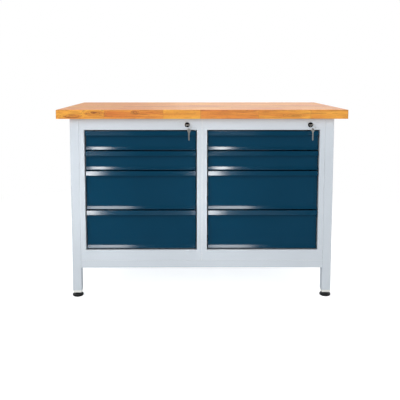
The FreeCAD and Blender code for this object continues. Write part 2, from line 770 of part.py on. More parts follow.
def make_keys(side):
    """The key in the lock, a ring through its bow, and the spare key on that ring."""
    keep(lock_place(make_key(f"key_{side}"), side), f"key_{side}")
    ring_x = cabinet_x(side, f"{LOCK_X} + ring_side")
    ring_y, ring_z = f"{FACE} - hole_reach", "lock_level - ring_drop"
    ring = doc.addObject("Part::Torus", f"ring_{side}")
    bind(ring, Radius1="ring_radius", Radius2="ring_wire")
    keep(place(ring, ring_x, ring_y, ring_z, TOWARDS_REAR), f"key_ring_{side}")
    spare = make_key(f"spare_key_{side}")
    hanging = Rotation(Z, SPARE_TURN).multiply(Rotation(X, -90))
    hole_z = f"{ring_z} - ring_radius - spare_drop"
    place(spare, ring_x, ring_y, f"{hole_z} - hole_reach", hanging)
    keep(spare, spare.Name)


def make_locking_bar(side):
    """Upright strip with a slot for the crank pin and a hooked finger for each drawer."""
    name, middle = f"bar_{side}", cabinet_x(side, BAR_X)
    low = (f"{middle} - bar_width / 2", "bar_front", "bar_bottom")
    pieces = [block(f"{name}_strip", low, ("bar_width", "bar_thick", "bar_height"))]
    left = f"{middle} - finger_width / 2"
    for number, kind in enumerate(DRAWERS, start=1):
        top = f"({drawer_bottom(number)} + box_lift + {box_height(kind)} - catch_drop)"
        foot = f"({top} - finger_drop)"
        reach = "(bar_front - finger_reach)"
        arm_size = ("finger_width", "finger_reach + bar_thick", "finger_thick")
        pieces.append(block(f"{name}_arm_{number}", (left, reach, foot), arm_size))
        hook_size = ("finger_width", "finger_thick", "finger_rise")
        pieces.append(block(f"{name}_hook_{number}", (left, reach, foot), hook_size))
    whole = joined(f"{name}_whole", pieces)
    pin_z = "(lock_level - crank * sqrt(0.5))"
    slot_low = (f"{middle} - slot_length / 2", "bar_front - overcut", f"{pin_z} - slot_height / 2")
    slot = block(f"{name}_slot", slot_low, ("slot_length", "bar_thick + 2 * overcut", "slot_height"))
    keep(less(name, whole, slot), f"locking_bar_{side}")


def make_bar_guides():
    """Plastic blocks on the back panels, each with a slot in which a locking bar slides."""
    guides = []
    for side in SIDES:
        for level in ("guide_low", "guide_high"):
            label, middle = f"{level}_{side}", cabinet_x(side, BAR_X)
            front = "(bar_front - guide_clearance - guide_skin)"
            low = (f"{middle} - guide_width / 2", front, level)
            size = ("guide_width", f"back_plane - {front}", "guide_height")
            loose = "(bar_width + 2 * guide_clearance)"
            slot_low = (f"{middle} - {loose} / 2", "bar_front - guide_clearance", f"{level} - overcut")
            slot_size = (loose, "bar_thick + 2 * guide_clearance", "guide_height + 2 * overcut")
            slot = block(f"{label}_slot", slot_low, slot_size)
            guides.append(less(label, block(f"{label}_block", low, size), slot))
    keep(group("guides", guides), "bar_guides")


def make_shaft_brackets():
    """Angle brackets under the cabinets' top sheets, each with a bearing for a lock shaft."""
    brackets = []
    for side in SIDES:
        name, x = f"bracket_{side}", cabinet_x(side, LOCK_X)
        ceiling = f"({TOP_UNDERSIDE} - sheet)"
        left, bottom = f"{x} - bracket_width / 2", f"({ceiling} - bracket_drop - bracket_width / 2)"
        web_size = ("bracket_width", "bracket_sheet", f"{ceiling} - {bottom}")
        web = block(f"{name}_web", (left, "bracket_plane", bottom), web_size)
        foot_low = (left, "bracket_plane - bracket_foot", f"{ceiling} - bracket_sheet")
        foot_size = ("bracket_width", "bracket_foot + bracket_sheet", "bracket_sheet")
        foot = block(f"{name}_foot", foot_low, foot_size)
        start = (x, "bracket_plane - overcut", "lock_level")
        bearing_radius = "shaft_radius + lock_clearance"
        through = "bracket_sheet + 2 * overcut"
        bearing = rod(f"{name}_bore", start, bearing_radius, through, TOWARDS_REAR)
        brackets.append(less(name, joined(f"{name}_plates", [web, foot]), bearing))
    keep(group("brackets", brackets), "shaft_brackets")


def check_and_write():
    """Refuses a failed object or a bad shape, then writes one file for each sub-part."""
    doc.recompute()
    for thing in doc.Objects:
        if {"Invalid", "Error"} & set(thing.State):
            raise RuntimeError(f"{thing.Name} failed: {thing.State}")
    for node in nodes:
        if node.Shape.isNull() or not node.Shape.isValid():
            raise RuntimeError(f"{node.Label} has a bad shape")
    os.makedirs("parts", exist_ok=True)
    for node in nodes:
        node.Shape.exportStep(f"parts/{node.Label}.step")
    solids = sum(len(node.Shape.Solids) for node in nodes)
    print(f"{len(nodes)} sub-parts, {solids} solids")


def main():
    make_worktop()
    make_worktop_screws()
    for end in ENDS:
        make_long_rail(end)
        for side in SIDES:
            make_leg(end, side)
    make_leg_plugs()
    for end, side, x, y in leg_places():
        make_foot(end, side, x, y)
    make_frame_bolts()
    make_runner_posts()
    make_outer_runners()
    make_bar_guides()
    make_shaft_brackets()
    for side in SIDES:
        make_side_rails(side)
        make_cabinet(side)
        make_back_panel(side)
        make_lock_body(side)
        make_lock_shaft(side)
        make_keys(side)
        make_locking_bar(side)
        for number, kind in enumerate(DRAWERS, start=1):
            make_drawer_front(side, number, kind)
            make_drawer_box(side, number, kind)
            make_middle_runners(side, number)
    check_and_write()


main()
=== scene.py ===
import math

import bpy
import numpy as np
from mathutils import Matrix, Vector


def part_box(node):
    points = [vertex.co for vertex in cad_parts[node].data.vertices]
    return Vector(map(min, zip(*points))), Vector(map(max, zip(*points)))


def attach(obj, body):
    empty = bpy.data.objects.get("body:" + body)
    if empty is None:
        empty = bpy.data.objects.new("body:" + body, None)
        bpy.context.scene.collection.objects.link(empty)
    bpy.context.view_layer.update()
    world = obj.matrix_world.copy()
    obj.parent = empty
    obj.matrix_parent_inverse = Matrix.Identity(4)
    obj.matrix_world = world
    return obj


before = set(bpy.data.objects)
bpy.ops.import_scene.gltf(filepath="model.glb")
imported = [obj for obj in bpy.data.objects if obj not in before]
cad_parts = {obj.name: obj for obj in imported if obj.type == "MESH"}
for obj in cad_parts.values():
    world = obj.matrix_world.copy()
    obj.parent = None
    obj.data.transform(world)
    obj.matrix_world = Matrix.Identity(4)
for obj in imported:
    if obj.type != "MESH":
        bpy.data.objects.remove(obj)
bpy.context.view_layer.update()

bl_info = {
    "name": "Workbench with drawers",
    "version": (1, 0, 0),
    "blender": (4, 5, 0),
    "location": "3D View > Sidebar > Workbench",
    "description": "Finishes and lights a beech-topped workbench with eight drawers",
    "category": "Object",
}

MM = 0.001
SIDES = ("left", "right")
DRAWERS = (1, 2, 3, 4)
ENDS = ("front", "rear")
GREY_COAT = "powder_coat_light_grey_satin"
WHITE = (1.0, 1.0, 1.0, 1.0)

# sockets of a Mix node, numbered because its colour, number and vector kinds share their names
COLOUR_A, COLOUR_B, COLOUR_OUT = 6, 7, 2
NUMBER_A, NUMBER_B, NUMBER_OUT = 2, 3, 0
# the part of 0 to 1 that a noise pattern fills
NOISE_SPAN = {"From Min": 0.3, "From Max": 0.7}

# knots and dark streaks in the worktop: place, half-length and half-width in metres
KNOTS = (((-0.575, -0.35, 0.826), 0.050, 0.012), ((-0.475, -0.35, 0.840), 0.045, 0.013),
         ((-0.295, -0.35, 0.843), 0.018, 0.009), ((0.160, -0.35, 0.850), 0.060, 0.005),
         ((0.40, -0.35, 0.829), 0.035, 0.006), ((-0.20, 0.11, 0.855), 0.027, 0.009),
         ((0.33, -0.08, 0.855), 0.022, 0.007), ((0.05, 0.35, 0.833), 0.030, 0.009))
KNOT_PUSH = 0.028  # metres that a growth line bends aside at a knot's middle
STRIP_JUMP = 3.0  # metres between the places in the tree that two strips may come from
ROW_SLIDE = 3.0  # strips by which one row may start before another

# welded seams: radius from the seam's middle to its skin, length of one puddle of the torch and
# round corner of the tube, all in metres, then how far the radius swells and how flat the seam is
WELD_RADIUS, WELD_PUDDLE, WELD_CORNER = 2.3 * MM, 2.6 * MM, 2.0 * MM
WELD_SWELL, WELD_FLAT = 0.14, 0.8
WELD_ALONG, WELD_AROUND = 260, 14  # points along a seam and around it
CORNER_POINTS = 7

CAMERA_PLACE = (-0.061, -2.897, 1.007)
CAMERA_TURN = math.radians(-0.29)
CAMERA_SHIFT = (0.0218, -0.17)
SENSOR_WIDTH = 36.0

# name, place, size and aim in metres, and power as a share of the key light's
LAMPS = (
    ("key_left", (-2.6, -2.3, 2.1), (1.5, 1.5), (0.0, -0.2, 0.6), 1.0),
    ("fill_right", (2.6, -2.4, 1.9), (1.6, 1.6), (0.0, -0.2, 0.5), 0.5),
    ("front", (0.2, -3.8, 1.6), (1.6, 1.0), (0.0, 0.0, 0.8), 0.34),
    ("top", (0.0, 0.3, 3.2), (3.0, 2.2), (0.0, 0.1, 0.0), 0.62),
    ("behind", (0.8, 3.2, 2.4), (2.4, 1.6), (0.0, 0.3, 0.4), 0.28),
)

# small cards that brighten the edges of the drawers
CARD_REACH = 1.5  # metres from an edge to its card
CARD_SPARE = 0.06  # metres of height that a card has beyond its edge's mirror image
CARD_HALF_SPREAD = math.radians(9.0)
BAND_LEAN, LIP_LEAN = math.radians(30.6), math.radians(21.3)
BAND_UP, LIP_DOWN = 0.007, 0.010  # metres above a front's lowest and below its highest edge
EDGE_DEPTH = 0.008  # metres behind a front's foremost point
# lean of the face, the two faces it shows in, its start and end from the front's left edge in
# metres, and its radiance
CARDS = (
    (BAND_LEAN, (1, "band"), (2, "band"), 0.028, 0.092, 34.0),
    (BAND_LEAN, (3, "band"), (4, "band"), 0.0, 0.192, 15.0),
    (LIP_LEAN, (3, "lip"), (4, "lip"), -0.03, 0.052, 34.0),
)

FLOOR_HALF = 14.0  # metres from the middle of the floor to its edge
FLOOR_GLOW, FLOOR_GLOW_SEEN = 0.25, 0.62  # the paint's own light on the bench and to the camera
FLOOR_FLAG = 0.08  # brightness of the floor in a gloss
ROOM_BEFORE, ROOM_BEHIND = 0.06, 0.95  # brightness of the room in a gloss
ROOM_LIGHT, ROOM_SEEN = 0.3, 1.0  # brightness of the room on the bench and to the camera


# ---------------------------------------------------------------- colours and nodes

def linear(hex_colour):
    """A written sRGB colour such as "#074059" as linear red, green and blue, and alpha 1."""
    parts = [int(hex_colour[i:i + 2], 16) / 255.0 for i in (1, 3, 5)]
    curve = [p / 12.92 if p <= 0.04045 else ((p + 0.055) / 1.055) ** 2.4 for p in parts]
    return (*curve, 1.0)


def add(tree, kind, links=None, values=None, **settings):
    """Adds one node of that kind: settings are its own properties, values go on its unlinked
    inputs and links are {input: the output that feeds it}. Returns the node."""
    made = tree.nodes.new(kind)
    for name, setting in settings.items():
        setattr(made, name, setting)
    for name, number in (values or {}).items():
        made.inputs[name].default_value = number
    for name, source in (links or {}).items():
        tree.links.new(source, made.inputs[name])
    return made


def new_material(name):
    """An empty node material and its node tree."""
    material = bpy.data.materials.new(name)
    material.use_nodes = True
    material.node_tree.nodes.clear()
    return material, material.node_tree


def per_mm(size):
    """The scale that makes a pattern repeat every so many millimetres on Object coordinates."""
    return 1.0 / (size * MM)


def edge_wear_and_highlight(tree, radius, start, end):
    """1 along the convex and concave edges of a piece and 0 on its flats: how far the normal,
    rounded over that radius in millimetres, leans away from the true one. The mask rises from 0
    to 1 while the cosine between the two falls from start to end."""
    rounded = add(tree, "ShaderNodeBevel", values={"Radius": radius * MM}, samples=4)
    true = add(tree, "ShaderNodeNewGeometry")
    same = add(tree, "ShaderNodeVectorMath", operation="DOT_PRODUCT",
               links={0: rounded.outputs["Normal"], 1: true.outputs["Normal"]})
    mask = add(tree, "ShaderNodeMapRange", links={"Value": same.outputs["Value"]},
               values={"From Min": start, "From Max": end, "To Min": 0.0, "To Max": 1.0})
    return mask.outputs["Result"]


# ---------------------------------------------------------------- materials

def powder_coat(name, colour, highlight_colour, gloss, specular, peel, tone, rim, highlight_share):
    """Epoxy-polyester powder coat, sprayed dry on folded sheet and baked. The eye gets a closed
    even film with the soft ripple called orange peel, edges painted lighter in patches, a painted
    highlight where the rounded edges catch the light (the film there is also a little thinner),
    and slow changes of tone across a panel. gloss is the mean roughness, peel the length of a
    ripple and rim the radius of an edge, both in millimetres, tone how far the brightness wanders,
    and highlight_share how much of the painted highlight colour an edge takes."""
    material, tree = new_material(name)
    place = add(tree, "ShaderNodeTexCoord").outputs["Object"]
    # clouds of film thickness about 260 mm across
    cloud = add(tree, "ShaderNodeTexNoise", links={"Vector": place},
                values={"Scale": per_mm(260), "Detail": 3.0, "Roughness": 0.55})
    # fine specks of pigment, drawn 5 mm across because the real 0.3 mm ones would not show
    speck = add(tree, "ShaderNodeTexNoise", links={"Vector": place},
                values={"Scale": per_mm(5), "Detail": 2.0, "Roughness": 0.6})
    spread = add(tree, "ShaderNodeMapRange", links={"Value": cloud.outputs["Fac"]},
                 values={**NOISE_SPAN, "To Min": 1.0 - tone, "To Max": 1.0 + tone})
    fine = add(tree, "ShaderNodeMapRange", links={"Value": speck.outputs["Fac"]},
               values={**NOISE_SPAN, "To Min": 0.985, "To Max": 1.015})
    both = add(tree, "ShaderNodeMath", operation="MULTIPLY",
               links={0: spread.outputs["Result"], 1: fine.outputs["Result"]})
    # painted highlight: the edges take the lighter edge colour in broken patches, standing in for
    # light caught along the rounded edges
    edge = edge_wear_and_highlight(tree, radius=rim, start=0.99, end=0.85)
    broken = add(tree, "ShaderNodeTexNoise", links={"Vector": place},
                 values={"Scale": per_mm(9), "Detail": 4.0, "Roughness": 0.7})
    broken_highlight = add(tree, "ShaderNodeMath", operation="MULTIPLY",
                  links={0: edge, 1: broken.outputs["Fac"]})
    wear_and_highlight = add(tree, "ShaderNodeMath", operation="MULTIPLY", links={0: broken_highlight.outputs[0]},
               values={1: highlight_share}, use_clamp=True)
    edge_highlighted = add(tree, "ShaderNodeMix", data_type="RGBA", links={0: wear_and_highlight.outputs[0]},
                 values={COLOUR_A: colour, COLOUR_B: highlight_colour})
    toned = add(tree, "ShaderNodeVectorMath", operation="SCALE",
                links={0: edge_highlighted.outputs[COLOUR_OUT], "Scale": both.outputs[0]})
    rough = add(tree, "ShaderNodeMapRange", links={"Value": cloud.outputs["Fac"]},
                values={**NOISE_SPAN, "To Min": gloss * 0.9, "To Max": gloss * 1.1})
    ripple = add(tree, "ShaderNodeTexNoise", links={"Vector": place},
                 values={"Scale": per_mm(peel), "Detail": 1.0, "Roughness": 0.4})
    bump = add(tree, "ShaderNodeBump", links={"Height": ripple.outputs["Fac"]},
               values={"Strength": 0.25, "Distance": 0.00006})
    shade = add(tree, "ShaderNodeBsdfPrincipled",
                links={"Base Color": toned.outputs[0], "Roughness": rough.outputs["Result"],
                       "Normal": bump.outputs["Normal"]},
                values={"IOR": 1.5, "Specular IOR Level": specular})
    add(tree, "ShaderNodeOutputMaterial", links={"Surface": shade.outputs["BSDF"]})
    return material


def cell_edge(tree, value, width, depth):
    """1 inside a cell and falling to depth at its two borders: value counts cells, and width is
    the part of a cell that each border takes."""
    place = add(tree, "ShaderNodeMath", operation="FRACT", links={0: value})
    off = add(tree, "ShaderNodeMath", operation="SUBTRACT", links={0: place.outputs[0]},
              values={1: 0.5})
    far = add(tree, "ShaderNodeMath", operation="ABSOLUTE", links={0: off.outputs[0]})
    line = add(tree, "ShaderNodeMapRange", links={"Value": far.outputs[0]},
               values={"From Min": 0.5 - width, "From Max": 0.5, "To Min": 1.0, "To Max": depth})
    return line.outputs["Result"]


def knot(tree, place, centre, long, wide):
    """1 at a knot and fading to 0 around it, longer along the stave than across."""
    size = (long, wide, wide)
    seen = add(tree, "ShaderNodeMapping", links={"Vector": place}, vector_type="POINT",
               values={"Location": [-c / s for c, s in zip(centre, size)],
                       "Scale": [1 / s for s in size]})
    far = add(tree, "ShaderNodeVectorMath", operation="LENGTH", links={0: seen.outputs[0]})
    near = add(tree, "ShaderNodeMapRange", interpolation_type="SMOOTHSTEP",
               links={"Value": far.outputs["Value"]},
               values={"From Min": 0.0, "From Max": 1.6, "To Min": 1.0, "To Max": 0.0})
    return near.outputs["Result"]


def knots_of(tree, place):
    """1 in the middle of every knot and 0 away from them all."""
    most = None
    for centre, long, wide in KNOTS:
        one = knot(tree, place, centre, long, wide)
        most = one if most is None else add(tree, "ShaderNodeMath", operation="MAXIMUM",
                                            links={0: most, 1: one}).outputs[0]
    return most


def lay_strips(tree, axis, stave, piece):
    """Glued strips in rows along X. Returns the place across the rows and the place along a row,
    both counted in strips, and the chance values of each row and of each strip."""
    row = add(tree, "ShaderNodeMath", operation="DIVIDE", links={0: axis.outputs["Y"]},
              values={1: stave})
    row_id = add(tree, "ShaderNodeMath", operation="FLOOR", links={0: row.outputs[0]})
    by_row = add(tree, "ShaderNodeTexWhiteNoise", noise_dimensions="1D",
                 links={"W": row_id.outputs[0]})
    # strips differ in length, so the count along a row runs faster and slower
    uneven_at = add(tree, "ShaderNodeCombineXYZ",
                    links={"X": axis.outputs["X"], "Y": row_id.outputs[0]})
    uneven = add(tree, "ShaderNodeTexNoise", links={"Vector": uneven_at.outputs[0]},
                 values={"Scale": per_mm(260), "Detail": 0.0})
    along = add(tree, "ShaderNodeMath", operation="DIVIDE", links={0: axis.outputs["X"]},
                values={1: piece})
    slid = add(tree, "ShaderNodeMath", operation="MULTIPLY_ADD",
               links={0: by_row.outputs["Value"], 2: along.outputs[0]}, values={1: ROW_SLIDE})
    count = add(tree, "ShaderNodeMath", operation="ADD",
                links={0: slid.outputs[0], 1: uneven.outputs["Fac"]})
    strip_id = add(tree, "ShaderNodeMath", operation="FLOOR", links={0: count.outputs[0]})
    cell = add(tree, "ShaderNodeCombineXYZ",
               links={"X": strip_id.outputs[0], "Y": row_id.outputs[0]})
    by_strip = add(tree, "ShaderNodeTexWhiteNoise", noise_dimensions="3D",
                   links={"Vector": cell.outputs[0]})
    return row.outputs[0], count.outputs[0], by_row.outputs, by_strip.outputs


def growth(tree, place, by_strip, knots):
    """The tree's own pattern in each strip, bent aside by the knots: the broad figure, the fine
    growth lines and the ray flecks."""
    push = add(tree, "ShaderNodeMath", operation="MULTIPLY", links={0: knots},
               values={1: KNOT_PUSH})
    aside = add(tree, "ShaderNodeCombineXYZ", links={"Y": push.outputs[0], "Z": push.outputs[0]})
    # each strip has its own place in the tree, so its growth lines start somewhere else
    jump = add(tree, "ShaderNodeVectorMath", operation="MULTIPLY_ADD",
               links={0: by_strip["Color"], 2: place}, values={1: (STRIP_JUMP,) * 3})
    own = add(tree, "ShaderNodeVectorMath", operation="ADD",
              links={0: jump.outputs[0], 1: aside.outputs[0]})
    stretched = add(tree, "ShaderNodeMapping", links={"Vector": own.outputs[0]},
                    values={"Scale": (0.06, 1.0, 1.0)})
    figure = add(tree, "ShaderNodeTexNoise", links={"Vector": stretched.outputs[0]},
                 values={"Scale": per_mm(22), "Detail": 4.0, "Roughness": 0.6, "Distortion": 0.9})
    line = add(tree, "ShaderNodeTexNoise", links={"Vector": stretched.outputs[0]},
               values={"Scale": per_mm(5), "Detail": 3.0, "Roughness": 0.65, "Distortion": 0.7})
    # ray flecks, 3 mm by 0.4 mm in life, drawn about 9 mm by 1 mm so that they show
    fleck_place = add(tree, "ShaderNodeMapping", links={"Vector": own.outputs[0]},
                      values={"Scale": (0.14, 1.0, 1.0)})
    fleck = add(tree, "ShaderNodeTexVoronoi", links={"Vector": fleck_place.outputs[0]},
                values={"Scale": per_mm(2.4)}, feature="F1")
    fleck_on = add(tree, "ShaderNodeMapRange", links={"Value": fleck.outputs["Distance"]},
                   values={"From Min": 0.10, "From Max": 0.28, "To Min": 0.45, "To Max": 0.0})
    return figure.outputs["Fac"], line.outputs["Fac"], fleck_on.outputs["Result"]


def darken_lines(tree, base, line, fleck, knots, dark):
    """The base colour with dark growth lines, stronger near a knot, dark knots and flecks."""
    veins = add(tree, "ShaderNodeMapRange", links={"Value": line},
                values={"From Min": 0.48, "From Max": 0.68, "To Min": 0.0, "To Max": 0.7})
    stronger = add(tree, "ShaderNodeMath", operation="MULTIPLY_ADD", links={0: knots},
                   values={1: 1.2, 2: 0.8})
    near_knot = add(tree, "ShaderNodeMath", operation="MULTIPLY",
                    links={0: veins.outputs["Result"], 1: stronger.outputs[0]})
    darker = add(tree, "ShaderNodeMath", operation="MULTIPLY_ADD",
                 links={0: knots, 2: near_knot.outputs[0]}, values={1: 0.22}, use_clamp=True)
    veined = add(tree, "ShaderNodeMix", data_type="RGBA",
                 links={0: darker.outputs[0], COLOUR_A: base}, values={COLOUR_B: dark})
    flecked = add(tree, "ShaderNodeMix", data_type="RGBA",
                  links={0: fleck, COLOUR_A: veined.outputs[COLOUR_OUT]}, values={COLOUR_B: dark})
    return flecked.outputs[COLOUR_OUT]


def vary_strips(tree, colour, by_row, by_strip):
    """The colour with a small change of hue from strip to strip and of value from row to row."""
    tone = add(tree, "ShaderNodeHueSaturation", links={"Color": colour})
    for socket, low, high, source in (("Hue", 0.484, 0.508, by_strip["Value"]),
                                      ("Value", 0.87, 1.08, by_row["Value"])):
        picked = add(tree, "ShaderNodeMapRange", links={"Value": source},
                     values={"To Min": low, "To Max": high})
        tree.links.new(picked.outputs["Result"], tone.inputs[socket])
    return tone.outputs["Color"]


def end_rings(tree, axis, by_row, end_grain, dark):
    """The colour of growth rings in cross-section, an arc in each row of strips."""
    ring_at = add(tree, "ShaderNodeCombineXYZ",
                  links={"Y": axis.outputs["Y"], "Z": axis.outputs["Z"]})
    ring_jump = add(tree, "ShaderNodeVectorMath", operation="MULTIPLY_ADD",
                    links={0: by_row["Color"], 2: ring_at.outputs[0]},
                    values={1: (0.0, 0.05, 0.09)})
    ring = add(tree, "ShaderNodeTexWave", wave_type="RINGS", rings_direction="X",
               links={"Vector": ring_jump.outputs[0]},
               values={"Scale": per_mm(28), "Distortion": 2.0, "Detail": 2.0,
                       "Detail Scale": 3.0})
    ends = add(tree, "ShaderNodeMix", data_type="RGBA", links={0: ring.outputs["Fac"]},
               values={COLOUR_A: end_grain, COLOUR_B: dark})
    return ends.outputs[COLOUR_OUT]


def on_the_ends(tree):
    """1 on the faces that look along X and 0 on the others."""
    normal = add(tree, "ShaderNodeTexCoord").outputs["Normal"]
    facing = add(tree, "ShaderNodeSeparateXYZ", links={"Vector": normal})
    sideways = add(tree, "ShaderNodeMath", operation="ABSOLUTE", links={0: facing.outputs["X"]})
    on_end = add(tree, "ShaderNodeMapRange", links={"Value": sideways.outputs[0]},
                 values={"From Min": 0.6, "From Max": 0.9, "To Min": 0.0, "To Max": 1.0})
    return on_end.outputs["Result"]


def oiled_beech(name, pale, heart, dark, end_grain, stave, piece):
    """Steamed beech, planed into staves, finger-jointed and glued side by side, then sanded and
    oiled. The eye gets narrow strips of differing tone along the bench, straight to wavy growth
    lines along each strip that bend round a few knots, short dark ray flecks, darker end grain
    on the two ends, and a satin skin. stave is a strip's width and piece its length, in metres."""
    material, tree = new_material(name)
    place = add(tree, "ShaderNodeTexCoord").outputs["Object"]
    axis = add(tree, "ShaderNodeSeparateXYZ", links={"Vector": place})
    across, count, by_row, by_strip = lay_strips(tree, axis, stave, piece)
    knots = knots_of(tree, place)
    figure, line, fleck = growth(tree, place, by_strip, knots)
    grain = add(tree, "ShaderNodeMapRange", links={"Value": figure},
                values={"From Min": 0.36, "From Max": 0.66, "To Min": 0.0, "To Max": 1.0})
    base = add(tree, "ShaderNodeMix", data_type="RGBA", links={0: grain.outputs["Result"]},
               values={COLOUR_A: pale, COLOUR_B: heart})
    lined = darken_lines(tree, base.outputs[COLOUR_OUT], line, fleck, knots, dark)
    whole = add(tree, "ShaderNodeMix", data_type="RGBA",
                links={0: on_the_ends(tree), COLOUR_A: vary_strips(tree, lined, by_row, by_strip),
                       COLOUR_B: end_rings(tree, axis, by_row, end_grain, dark)})
    # the glue line between two staves and the butted finger joints are thin dark seams
    lines = add(tree, "ShaderNodeMath", operation="MULTIPLY",
                links={0: cell_edge(tree, across, width=0.02, depth=0.78),
                       1: cell_edge(tree, count, width=0.006, depth=0.72)})
    light = add(tree, "ShaderNodeMapRange", links={"Value": by_strip["Value"]},
                values={"To Min": 0.90, "To Max": 1.08})
    scale = add(tree, "ShaderNodeMath", operation="MULTIPLY",
                links={0: lines.outputs[0], 1: light.outputs["Result"]})
    seamed = add(tree, "ShaderNodeVectorMath", operation="SCALE",
                 links={0: whole.outputs[COLOUR_OUT], "Scale": scale.outputs[0]})
    rough = add(tree, "ShaderNodeMapRange", links={"Value": line},
                values={**NOISE_SPAN, "To Min": 0.34, "To Max": 0.50})
    bump = add(tree, "ShaderNodeBump", links={"Height": line},
               values={"Strength": 0.3, "Distance": 0.00015})
    shade = add(tree, "ShaderNodeBsdfPrincipled",
                links={"Base Color": seamed.outputs[0], "Roughness": rough.outputs["Result"],
                       "Normal": bump.outputs["Normal"]},
                values={"IOR": 1.48})
    add(tree, "ShaderNodeOutputMaterial", links={"Surface": shade.outputs["BSDF"]})
    return material


def plated_metal(name, colour, tint, low, high, patch, brush):
    """Steel or brass with a thin plated skin. The eye gets a hard bright metal with cloudy
    patches of tint, short polishing lines and a gloss that changes from line to line. low and
    high bound the roughness; patch and brush are the patterns' sizes in millimetres."""
    material, tree = new_material(name)
    place = add(tree, "ShaderNodeTexCoord").outputs["Object"]
    cloud = add(tree, "ShaderNodeTexNoise", links={"Vector": place},
                values={"Scale": per_mm(patch), "Detail": 4.0, "Roughness": 0.6})
    mixed = add(tree, "ShaderNodeMix", data_type="RGBA", links={0: cloud.outputs["Fac"]},
                values={COLOUR_A: colour, COLOUR_B: tint})
    long = add(tree, "ShaderNodeMapping", links={"Vector": place},
               values={"Scale": (1.0, 0.08, 1.0)})
    scratch = add(tree, "ShaderNodeTexNoise", links={"Vector": long.outputs[0]},
                  values={"Scale": per_mm(brush), "Detail": 2.0, "Roughness": 0.5})
    rough = add(tree, "ShaderNodeMapRange", links={"Value": scratch.outputs["Fac"]},
                values={**NOISE_SPAN, "To Min": low, "To Max": high})
    bump = add(tree, "ShaderNodeBump", links={"Height": scratch.outputs["Fac"]},
               values={"Strength": 0.15, "Distance": 0.00004})
    shade = add(tree, "ShaderNodeBsdfPrincipled",
                links={"Base Color": mixed.outputs[COLOUR_OUT],
                       "Roughness": rough.outputs["Result"], "Normal": bump.outputs["Normal"]},
                values={"Metallic": 1.0})
    add(tree, "ShaderNodeOutputMaterial", links={"Surface": shade.outputs["BSDF"]})
    return material


def moulded_plastic(name, colour, worn, gloss):
    """Injection-moulded plastic. The eye gets a dull even skin with a faint spark-eroded
    texture, slightly paler where the moulding has an edge. gloss is the mean roughness."""
    material, tree = new_material(name)
    place = add(tree, "ShaderNodeTexCoord").outputs["Object"]
    cloud = add(tree, "ShaderNodeTexNoise", links={"Vector": place},
                values={"Scale": per_mm(14), "Detail": 4.0, "Roughness": 0.65})
    edge = edge_wear_and_highlight(tree, radius=0.8, start=0.985, end=0.80)
    wear_and_highlight = add(tree, "ShaderNodeMath", operation="MULTIPLY",
               links={0: edge, 1: cloud.outputs["Fac"]})
    mixed = add(tree, "ShaderNodeMix", data_type="RGBA", links={0: wear_and_highlight.outputs[0]},
                values={COLOUR_A: colour, COLOUR_B: worn})
    rough = add(tree, "ShaderNodeMapRange", links={"Value": cloud.outputs["Fac"]},
                values={**NOISE_SPAN, "To Min": gloss * 0.85, "To Max": gloss * 1.15})
    skin = add(tree, "ShaderNodeTexNoise", links={"Vector": place},
               values={"Scale": per_mm(1.2), "Detail": 2.0, "Roughness": 0.6})
    bump = add(tree, "ShaderNodeBump", links={"Height": skin.outputs["Fac"]},
               values={"Strength": 0.3, "Distance": 0.00005})
    shade = add(tree, "ShaderNodeBsdfPrincipled",
                links={"Base Color": mixed.outputs[COLOUR_OUT],
                       "Roughness": rough.outputs["Result"], "Normal": bump.outputs["Normal"]},
                values={"IOR": 1.53})
    add(tree, "ShaderNodeOutputMaterial", links={"Surface": shade.outputs["BSDF"]})
    return material


def paint(material, *names):
    """Puts the material on those CAD nodes."""
    for name in names:
        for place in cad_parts[name].material_slots:
            place.material = material


def each(pattern):
    """The CAD node names that the pattern gives for the two sides and, if it has a number, for the
    four drawers."""
    return [pattern.format(side=side, n=n) for side in SIDES
            for n in (DRAWERS if "{n}" in pattern else (0,))]


# ---------------------------------------------------------------- settings a user may change

def colour_prop(name, description, hex_colour):
    """A colour that a user may pick, with the written one as its default."""
    return bpy.props.FloatVectorProperty(name=name, description=description, subtype="COLOR",
                                         size=4, min=0.0, max=1.0, default=linear(hex_colour))


class BenchFinish(bpy.types.PropertyGroup):
    """Colours, gloss and strip sizes of the bench."""
    stave_width: bpy.props.FloatProperty(
        name="Stave width", description="Width of one glued beech strip",
        default=0.042, min=0.015, max=0.12, unit="LENGTH")
    stave_length: bpy.props.FloatProperty(
        name="Stave length", description="Mean length between two finger joints",
        default=0.23, min=0.15, max=1.2, unit="LENGTH")
    wood_pale: colour_prop("Pale wood", "Lighter tone of the beech", "#f2ac42")
    wood_heart: colour_prop("Heart wood", "Deeper tone of the beech", "#dc8634")
    drawer_colour: colour_prop("Drawer colour", "Powder coat of the drawers", "#043a54")
    steel_colour: colour_prop("Cabinet colour", "Powder coat of frame and cabinets", "#cbd3db")
    drawer_gloss: bpy.props.FloatProperty(
        name="Drawer roughness", description="Roughness of the drawers' coat",
        default=0.13, min=0.0, max=1.0, subtype="FACTOR")
    steel_gloss: bpy.props.FloatProperty(
        name="Cabinet roughness", description="Roughness of the frame's and cabinets' coat",
        default=0.42, min=0.0, max=1.0, subtype="FACTOR")


class BenchStage(bpy.types.PropertyGroup):
    """Light and camera."""
    lens: bpy.props.FloatProperty(
        name="Lens", description="Focal length on a 36 mm sensor", default=52.35, min=10.0,
        unit="CAMERA")
    pitch: bpy.props.FloatProperty(
        name="Pitch", description="How far the camera looks down", default=math.radians(5.60),
        subtype="ANGLE")
    key: bpy.props.FloatProperty(
        name="Key light", description="Power of the large light before the bench", default=47.0,
        unit="POWER")


# ---------------------------------------------------------------- operators

class BENCH_OT_worktop(bpy.types.Operator):
    """Finishes the glued beech worktop"""
    bl_idname = "bench.worktop"
    bl_label = "Worktop"

    def execute(self, context):
        want = context.scene.bench_finish
        beech = oiled_beech("beech_glued_staves_oiled", tuple(want.wood_pale),
                            tuple(want.wood_heart), linear("#8e4a1c"), linear("#b87a45"),
                            want.stave_width, want.stave_length)
        paint(beech, "worktop")
        return {"FINISHED"}


